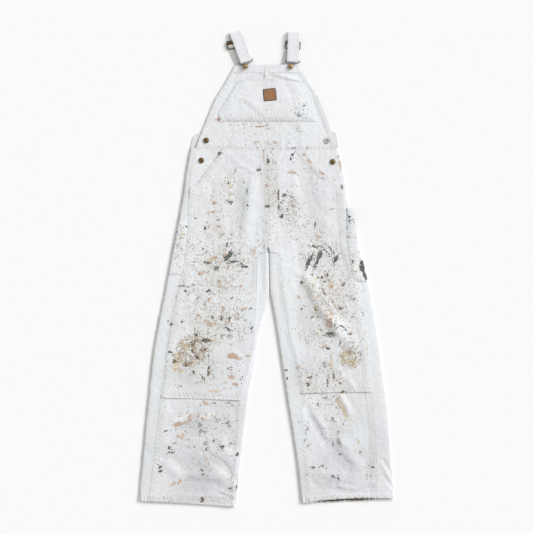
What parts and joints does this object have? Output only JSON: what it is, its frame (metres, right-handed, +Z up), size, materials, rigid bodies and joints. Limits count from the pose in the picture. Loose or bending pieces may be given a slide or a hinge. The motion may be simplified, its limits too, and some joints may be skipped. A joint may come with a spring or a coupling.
{
  "type": "paint-spattered bib overalls",
  "caption": "Worn off-white cotton canvas bib overalls laid flat, front up, with doubled knees, wire strap buckles, brass tack buttons and dried paint spatter.",
  "frame": {"origin": "middle of the garment's outline, on the surface that it lies on", "axes": "+X to the viewer's right, +Y towards the shoulder straps, +Z up from the surface, out of the garment's front"},
  "size_m": [0.726, 1.3558, 0.0151],
  "materials": {
    "canvas": "washed cotton duck, worn and flecked with paint",
    "patch": "dull brown leather",
    "buttons": "aged brass",
    "wire": "dull steel wire",
    "painted_button": "covered with white paint"
  },
  "bodies": {
    "root": {"back_leg_left": "canvas", "back_leg_right": "canvas", "front_leg_left": "canvas", "front_leg_right": "canvas", "hip_facing_left": "canvas", "hip_facing_right": "canvas", "knee_panel_left": "canvas", "knee_panel_right": "canvas", "tool_pocket_left": "canvas", "tool_pocket_right": "canvas", "hammer_loop": "canvas", "bib_front": "canvas", "bib_hem": "canvas", "bib_pocket": "canvas", "pencil_strip": "canvas", "leather_patch": "patch", "back_bib": "canvas", "strap_left": "canvas", "strap_right": "canvas", "buckle_left": "wire", "buckle_right": "wire", "slider_left": "buttons", "slider_right": "buttons", "bib_button_left": "buttons", "bib_button_right": "buttons", "side_button_left_upper": "buttons", "side_button_left_lower": "buttons", "side_button_right_upper": "painted_button", "side_button_right_lower": "buttons"}
  },
  "joints": []
}
